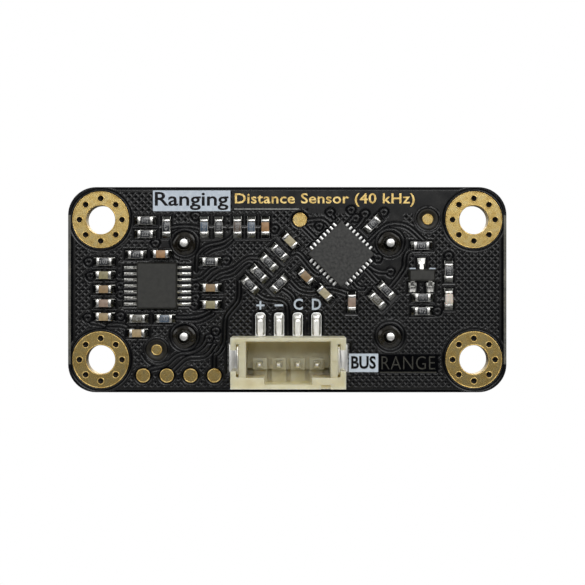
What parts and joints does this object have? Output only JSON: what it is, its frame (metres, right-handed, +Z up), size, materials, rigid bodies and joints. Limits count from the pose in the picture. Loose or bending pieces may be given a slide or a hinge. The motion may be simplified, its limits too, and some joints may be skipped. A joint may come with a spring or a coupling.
{
  "type": "ultrasonic distance sensor",
  "caption": "Ultrasonic distance sensor module: a dark circuit board with chips and a cream socket header on one side and two round transducers on the other.",
  "frame": {"origin": "centre of the four mounting holes, on the component face of the board", "axes": "+X along the board, to the right as seen from the component side; +Z up across the board, away from the header; -Y out of the component face, so the transducers face +Y"},
  "size_m": [0.047, 0.0196, 0.022],
  "materials": {
    "solder_mask": "satin",
    "gold": "polished",
    "tin": "bright",
    "solder": "bright",
    "resistor_ceramic": "matt",
    "resistor_coat": "satin",
    "capacitor_ceramic": "matt",
    "lamp_base": "matt",
    "lamp_lens": "gloss",
    "package": "fine texture",
    "header_nylon": "satin",
    "tinned_pin": "bright",
    "can_metal": "satin",
    "screen_wire": "satin",
    "base_moulding": "matt",
    "cone_metal": "satin",
    "piezo": "matt",
    "silicone": "matt",
    "copper_wire": "bright",
    "printing": "matt"
  },
  "bodies": {
    "root": {"amplifier_body": "package", "amplifier_leads": "tin", "capacitor_bodies": "capacitor_ceramic", "capacitor_end_caps": "tin", "chip_solder_joints": "solder", "circuit_board": "solder_mask", "fiducials": "gold", "header_housing": "header_nylon", "header_pin_1": "tinned_pin", "header_pin_2": "tinned_pin", "header_pin_3": "tinned_pin", "header_pin_4": "tinned_pin", "header_solder_joints": "solder", "header_tab_left": "tinned_pin", "header_tab_right": "tinned_pin", "lead_solder_joints": "solder", "led_base": "lamp_base", "led_end_caps": "tin", "led_lens": "lamp_lens", "left_transducer_base": "base_moulding", "left_transducer_can": "can_metal", "left_transducer_cone": "cone_metal", "left_transducer_lower_lead_wire": "copper_wire", "left_transducer_lower_pin": "tinned_pin", "left_transducer_piezo_disc": "piezo", "left_transducer_screen": "screen_wire", "left_transducer_seat": "silicone", "left_transducer_solder_joints": "solder", "left_transducer_upper_lead_wire": "copper_wire", "left_transducer_upper_pin": "tinned_pin", "left_transducer_vibrating_plate": "cone_metal", "microcontroller_body": "package", "microcontroller_terminals": "tin", "microcontroller_thermal_pad": "tin", "mounting_ring_bottom_left": "gold", "mounting_ring_bottom_right": "gold", "mounting_ring_top_left": "gold", "mounting_ring_top_right": "gold", "program_pads": "gold", "regulator_body": "package", "regulator_leads": "tin", "resistor_bodies": "resistor_ceramic", "resistor_end_caps": "tin", "resistor_overcoats": "resistor_coat", "right_transducer_base": "base_moulding", "right_transducer_can": "can_metal", "right_transducer_cone": "cone_metal", "right_transducer_lower_lead_wire": "copper_wire", "right_transducer_lower_pin": "tinned_pin", "right_transducer_piezo_disc": "piezo", "right_transducer_screen": "screen_wire", "right_transducer_seat": "silicone", "right_transducer_solder_joints": "solder", "right_transducer_upper_lead_wire": "copper_wire", "right_transducer_upper_pin": "tinned_pin", "right_transducer_vibrating_plate": "cone_metal", "solder_pads": "tin", "test_pad": "gold"}
  },
  "joints": []
}
